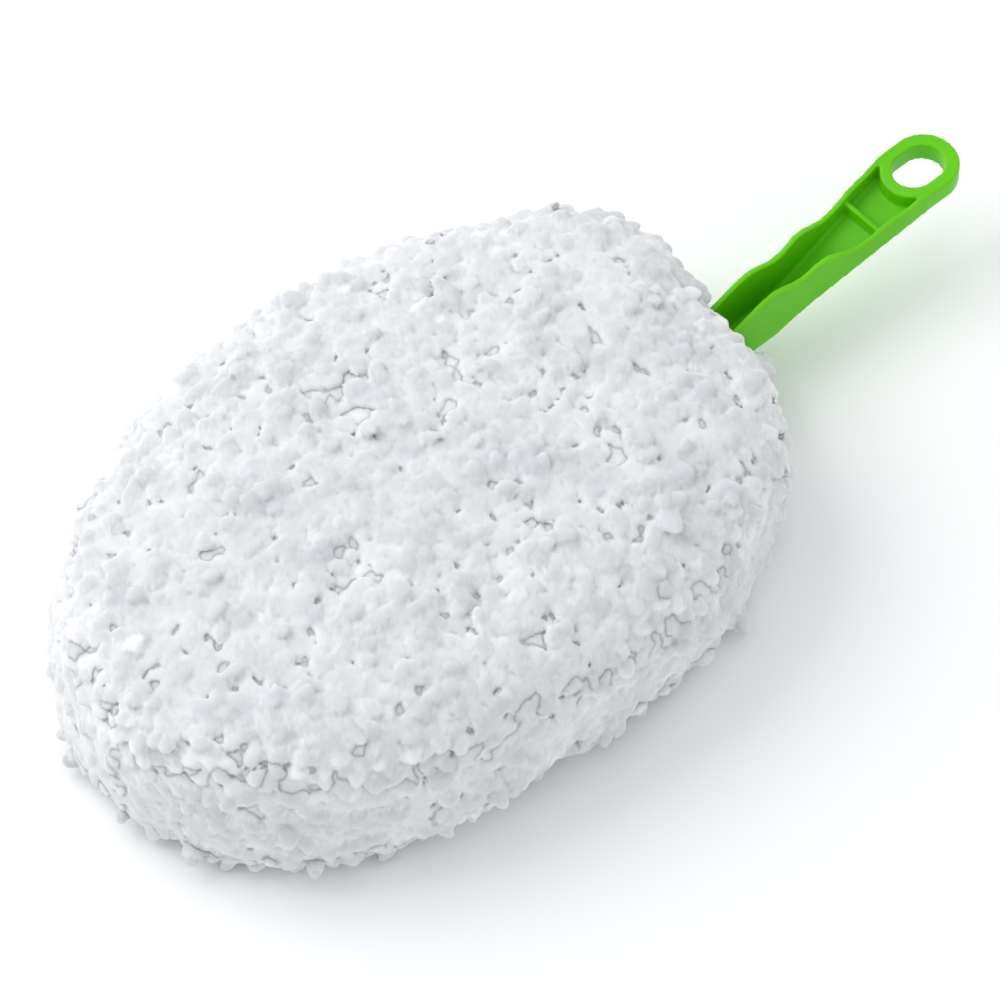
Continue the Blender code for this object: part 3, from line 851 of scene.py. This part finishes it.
class WASH_OT_handle(WashOperator, Operator):
    """Give the one-piece moulding its rounded edges and its plastic"""
    bl_idname = "wash.handle"
    bl_label = "Handle moulding"

    def execute(self, context):
        settings = context.scene.wash_handle
        moulding = merged_copy("handle_frame", "handle_moulding")
        apply_modifier(moulding, "REMESH", mode="VOXEL", voxel_size=settings.grain_size,
                       adaptivity=0.0)
        apply_modifier(moulding, "SMOOTH", iterations=settings.softening, factor=0.5)
        self.mark_edges(moulding)
        triangles = len(moulding.data.polygons) * 2
        apply_modifier(moulding, "DECIMATE", ratio=min(1.0, HANDLE_TRIANGLES / triangles))
        finish_piece(moulding, "handle", plastic_material(tuple(settings.colour)), "handle_frame")
        return {"FINISHED"}

    def mark_edges(self, item):
        """An attribute that is 1 on outer edges and 0 on flat walls, for the painted highlight along
        the edges.
        """
        points = coordinates(item)
        normals = vertex_normals(item)
        pairs = np.zeros(len(item.data.edges) * 2, np.int32)
        item.data.edges.foreach_get("vertices", pairs)
        pairs = pairs.reshape(-1, 2)
        total = np.zeros(len(points))
        lean = ((points[pairs[:, 1]] - points[pairs[:, 0]]) * normals[pairs[:, 0]]).sum(1)
        back = ((points[pairs[:, 0]] - points[pairs[:, 1]]) * normals[pairs[:, 1]]).sum(1)
        np.add.at(total, pairs[:, 0], -lean)
        np.add.at(total, pairs[:, 1], -back)
        sharp = np.clip(total / (0.35 * MM), 0, 1)
        layer = item.data.attributes.new("edge", "FLOAT", "POINT")
        layer.data.foreach_set("value", sharp.astype(np.float32))


class WASH_OT_pile(WashOperator, Operator):
    """Swell the pad's form, cut both padded panels to it and lay the tufts over them"""
    bl_idname = "wash.pile"
    bl_label = "Pile panels and tufts"

    def execute(self, context):
        settings = context.scene.wash_pile
        chance = np.random.default_rng(settings.seed)
        form = pad_form(settings)
        ground = ground_material(settings)
        add_ground(form, "front_pile", "front_panel", ground)
        add_ground(form, "rear_pile", "rear_panel", ground)
        spots, facing = scatter(form, settings.tuft_spacing, chance)
        bpy.data.objects.remove(form)
        shape, faces = tuft_shape()
        root, axis, way, length, width, tone = lay_tufts(spots, facing, settings, chance)
        points = tuft_points(shape, root, axis, way, length, width)
        handle = handle_tree()
        clear = clear_of_handle(points, handle, TUFT_CLEARANCE)
        over = mouth_tufts(shape, chance)
        over = over[clear_of_handle(over, handle, MOUTH_CLEARANCE)]
        points[..., 2] = np.maximum(points[..., 2], 0.0)
        over[..., 2] = np.maximum(over[..., 2], 0.0)
        finish = tuft_material(settings)
        rise = ((points - spots[:, None]) * facing[:, None]).sum(2) / PILE_HEIGHT
        for label, inward in pile_regions(spots, facing).items():
            chosen = (inward > -OVERLAP) & clear
            sunk = np.where(inward[chosen] < 0, OVERLAP_SINK, 0.0)
            share = points[chosen] - (facing[chosen] * sunk[:, None])[:, None]
            pile_layer(f"{label}_pile", share, faces, rise[chosen], tone[chosen],
                       facing[chosen], settings, finish)
        upward = np.tile(MOUTH_FACING, (len(over), 1))
        pile_layer("mouth_pile", over, faces, np.full(over.shape[:2], 0.8),
                   np.full(len(over), 0.7), upward, settings, finish)
        return {"FINISHED"}


class WASH_OT_fillings(WashOperator, Operator):
    """Swell the two sponge layers inside the cover"""
    bl_idname = "wash.fillings"
    bl_label = "Sponge fillings"

    def execute(self, context):
        finish = foam_material(tuple(context.scene.wash_lining.foam_colour))
        for node, name, voxel in (("front_foam", "front_sponge", 4.0),
                                  ("rear_foam", "rear_sponge", 1.6)):
            sponge = merged_copy(node, name)
            apply_modifier(sponge, "REMESH", mode="VOXEL", voxel_size=voxel * MM)
            apply_modifier(sponge, "DISPLACE", strength=-0.5 * MM, mid_level=0.0)
            start = coordinates(sponge)
            swell_by_cloth(sponge, None, 10, pressure=2.0)
            moved = coordinates(sponge) - start
            reach = np.linalg.norm(moved, axis=1)
            limit = np.minimum(1.0, 0.4 * MM / np.maximum(reach, 1e-9))
            set_coordinates(sponge, start + moved * limit[:, None])
            finish_piece(sponge, "cover", finish, node)
        return {"FINISHED"}


class WASH_OT_linings(WashOperator, Operator):
    """Lay the two lining sheets of the pocket, slightly rippled"""
    bl_idname = "wash.linings"
    bl_label = "Pocket linings"

    def execute(self, context):
        colour = tuple(context.scene.wash_lining.cloth_colour)
        finish = cloth_material("woven_lining", colour, 190.0)
        for node, name in (("front_lining", "front_lining_cloth"),
                           ("rear_lining", "rear_lining_cloth")):
            sheet = merged_copy(node, name)
            apply_modifier(sheet, "REMESH", mode="VOXEL", voxel_size=0.45 * MM, adaptivity=0.0)
            apply_modifier(sheet, "DECIMATE", ratio=0.06)
            points = coordinates(sheet)
            points[:, 2] += field(points * (1, 1, 0), 16 * MM, 2.0) * 0.12 * MM
            set_coordinates(sheet, points)
            finish_piece(sheet, "cover", finish, node)
        return {"FINISHED"}


class WASH_OT_binding(WashOperator, Operator):
    """Sew the tape round the pocket"""
    bl_idname = "wash.binding"
    bl_label = "Edge binding"

    def execute(self, context):
        colour = tuple(context.scene.wash_lining.cloth_colour)
        tape = merged_copy("edge_binding", "binding_tape")
        apply_modifier(tape, "REMESH", mode="VOXEL", voxel_size=1.0 * MM)
        apply_modifier(tape, "SMOOTH", iterations=4, factor=0.5)
        finish_piece(tape, "cover", cloth_material("binding_tape", shaded(colour, 0.95), 240.0),
                     "edge_binding")
        return {"FINISHED"}


class WASH_OT_mouth(WashOperator, Operator):
    """Gather the hem of the mouth over its elastic"""
    bl_idname = "wash.mouth"
    bl_label = "Mouth hem and elastic"

    def execute(self, context):
        settings = context.scene.wash_lining
        hem = merged_copy("mouth_hem", "gathered_hem")
        apply_modifier(hem, "REMESH", mode="VOXEL", voxel_size=0.8 * MM)
        apply_modifier(hem, "SMOOTH", iterations=4, factor=0.5)
        points = coordinates(hem)
        pucker = np.sin(points[:, 1] / (1.7 * MM) + field(points, 14 * MM, 4.0) * 2.0)
        edge = np.clip((points[:, 0] - points[:, 0].min()) / (12 * MM), 0, 1)
        points += vertex_normals(hem) * (pucker * edge * 0.16 * MM)[:, None]
        set_coordinates(hem, points)
        colour = tuple(settings.cloth_colour)
        finish_piece(hem, "cover", cloth_material("hem_cloth", colour, 210.0), "mouth_hem")
        elastic = merged_copy("mouth_elastic", "hem_elastic")
        apply_modifier(elastic, "REMESH", mode="VOXEL", voxel_size=0.4 * MM)
        apply_modifier(elastic, "SMOOTH", iterations=2, factor=0.5)
        finish_piece(elastic, "cover", elastic_material(tuple(settings.elastic_colour)),
                     "mouth_elastic")
        return {"FINISHED"}


class WASH_OT_stage(WashOperator, Operator):
    """Lay the floor and set the soft lamps and the camera"""
    bl_idname = "wash.stage"
    bl_label = "Stage"

    def execute(self, context):
        settings = context.scene.wash_stage
        deselect_all()
        bpy.ops.mesh.primitive_plane_add(size=8.0, location=(0.0, 0.0, -0.3 * MM))
        floor = context.object
        floor.name = "studio_floor"
        bpy.ops.object.transform_apply(location=True, rotation=True, scale=True)
        made, _, shader = new_material("studio_floor")
        shader.inputs["Base Color"].default_value = (*settings.floor_colour, 1.0)
        shader.inputs["Roughness"].default_value = 0.9
        shader.inputs["Specular IOR Level"].default_value = 0.1
        floor.data.materials.append(made)
        back, right, up = self.camera_axes(settings)
        aim = CAMERA_AIM
        self.add_lamp("key_lamp", aim + back * 0.9 + up * 1.2 - right * 1.3, aim, 1.8,
                      settings.key_power)
        self.add_lamp("fill_lamp", aim + back * 1.2 - up * 0.2 + right * 1.3, aim, 1.6,
                      settings.fill_power)
        world = bpy.data.worlds.new("studio_room")
        world.use_nodes = True
        sky = world.node_tree.nodes["Background"]
        sky.inputs["Color"].default_value = (0.97, 0.985, 1.0, 1.0)
        sky.inputs["Strength"].default_value = settings.room_light
        context.scene.world = world
        context.scene.view_settings.view_transform = "Standard"
        lens = bpy.data.cameras.new("camera")
        lens.lens = settings.lens
        lens.sensor_width = 36.0
        lens.clip_end = 20.0
        camera = bpy.data.objects.new("camera", lens)
        context.scene.collection.objects.link(camera)
        turn = Matrix((right, up, back)).transposed().to_4x4()
        camera.matrix_world = Matrix.Translation(aim + back * settings.distance) @ turn
        context.scene.camera = camera
        return {"FINISHED"}

    def camera_axes(self, settings):
        level, turn = settings.elevation, settings.turn
        back = Vector((-math.sin(turn) * math.cos(level), -math.cos(turn) * math.cos(level),
                       math.sin(level)))
        right = Vector((math.cos(turn), -math.sin(turn), 0.0))
        return back, right, back.cross(right)

    def add_lamp(self, name, place, aim, size, power):
        data = bpy.data.lights.new(name, "AREA")
        data.shape = "DISK"
        data.size = size
        data.energy = power
        lamp = bpy.data.objects.new(name, data)
        bpy.context.scene.collection.objects.link(lamp)
        turn = (place - aim).to_track_quat("Z", "Y").to_matrix().to_4x4()
        lamp.matrix_world = Matrix.Translation(place) @ turn


STEPS = [WASH_OT_handle, WASH_OT_pile, WASH_OT_fillings, WASH_OT_linings, WASH_OT_binding,
         WASH_OT_mouth, WASH_OT_stage]


class WASH_PT_panel(Panel):
    bl_label = "Wash head"
    bl_idname = "WASH_PT_panel"
    bl_space_type = "VIEW_3D"
    bl_region_type = "UI"
    bl_category = "Wash head"

    def draw(self, context):
        for step in STEPS:
            self.layout.operator(step.bl_idname)
        for group in (context.scene.wash_pile, context.scene.wash_handle,
                      context.scene.wash_lining, context.scene.wash_stage):
            box = self.layout.box()
            for key in group.__annotations__:
                box.prop(group, key)


GROUPS = {"wash_pile": PileSettings, "wash_handle": HandleSettings,
          "wash_lining": LiningSettings, "wash_stage": StageSettings}


def register():
    for group in (*GROUPS.values(), *STEPS, WASH_PT_panel):
        bpy.utils.register_class(group)
    for key, group in GROUPS.items():
        setattr(bpy.types.Scene, key, PointerProperty(type=group))


def unregister():
    for key in GROUPS:
        delattr(bpy.types.Scene, key)
    for group in reversed((*GROUPS.values(), *STEPS, WASH_PT_panel)):
        bpy.utils.unregister_class(group)


def main():
    register()
    bpy.ops.wash.handle()
    bpy.ops.wash.pile()
    bpy.ops.wash.fillings()
    bpy.ops.wash.linings()
    bpy.ops.wash.binding()
    bpy.ops.wash.mouth()
    bpy.ops.wash.stage()


if __name__ == "__main__":
    main()
